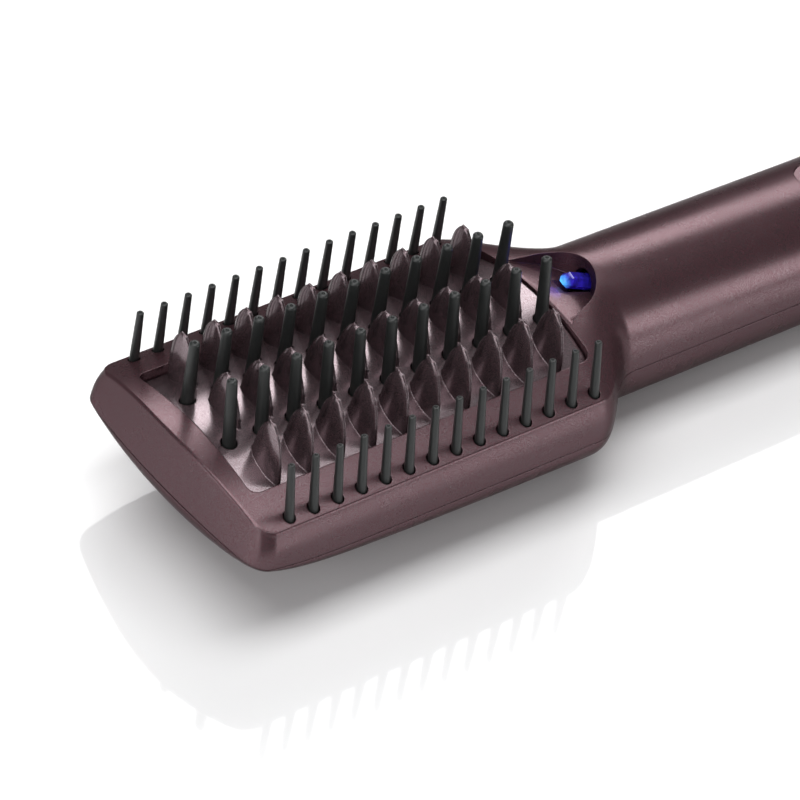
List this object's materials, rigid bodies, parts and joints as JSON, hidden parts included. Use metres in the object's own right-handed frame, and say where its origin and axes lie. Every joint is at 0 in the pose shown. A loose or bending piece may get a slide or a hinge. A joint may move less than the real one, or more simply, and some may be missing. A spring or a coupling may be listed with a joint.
{
  "type": "hot air straightening brush",
  "caption": "Hot air straightening brush: paddle head with a finned, slotted air plate between rows of bristles, lit ion emitter, round handle with slider, button, fan and removable filter.",
  "frame": {"origin": "centre of the brush's bounding box in plan, on the surface that its back lies on", "axes": "+X from the tip of the head to the cord end, +Z out of the bristle face, Y across the head"},
  "size_m": [0.322, 0.075, 0.0572],
  "materials": {
    "housing": "satin metallic berry",
    "air_plate": "glossy metallic flake",
    "bristle": "matte",
    "light": "clear blue, lit",
    "black_plastic": "matte",
    "control": "soft satin",
    "mica": "matte sheet",
    "wire": "drawn wire",
    "steel": "brushed",
    "ceramic_white": "glazed",
    "rubber": "matte",
    "board": "lacquered",
    "insulation": "matte"
  },
  "bodies": {
    "handset": {"front_shell": "housing", "back_shell": "housing", "fin_plate": "air_plate", "side_comb_near": "bristle", "side_comb_far": "bristle", "centre_comb_near": "bristle", "centre_comb_far": "bristle", "ion_emitter": "light", "emitter_holder": "black_plastic", "ion_generator": "black_plastic", "heater_tube": "mica", "heater_frame": "mica", "heater_coils": "wire", "thermostat": "steel", "thermal_fuse": "ceramic_white", "air_guide": "mica", "fan_motor": "steel", "motor_carrier": "black_plastic", "motor_damper": "rubber", "circuit_board": "board", "mode_switch": "black_plastic", "cool_switch": "black_plastic", "button_spring": "steel", "tail_plate": "black_plastic", "shell_screws": "steel", "inner_wires": "insulation"},
    "fan": {"fan_impeller": "black_plastic", "motor_shaft": "steel"},
    "slider": {"mode_slider": "control"},
    "button": {"cool_button": "control"},
    "cap": {"filter_cap": "housing", "filter_mesh": "steel"},
    "collar": {"cord_collar": "black_plastic", "collar_clip": "steel"}
  },
  "joints": [
    {"name": "fan_spin", "type": "hinge", "parent": "handset", "child": "fan", "pos_m": [0.09455, 0, 0.02025], "axis": [1, 0, 0], "continuous": true},
    {"name": "mode_slide", "type": "slide", "parent": "handset", "child": "slider", "axis": [-1, 0, 0], "range_m": [0, 0.009]},
    {"name": "cool_press", "type": "slide", "parent": "handset", "child": "button", "axis": [0, 0, -1], "range_m": [0, 0.0016], "stiffness_N_per_m": 400, "springref_m": -0.001, "deforming": ["button_spring"]},
    {"name": "cap_pull", "type": "slide", "parent": "handset", "child": "cap", "axis": [1, 0, 0], "range_m": [0, 0.03]},
    {"name": "collar_swivel", "type": "hinge", "parent": "handset", "child": "collar", "pos_m": [0.1472, 0, 0.02025], "axis": [1, 0, 0], "continuous": true}
  ]
}
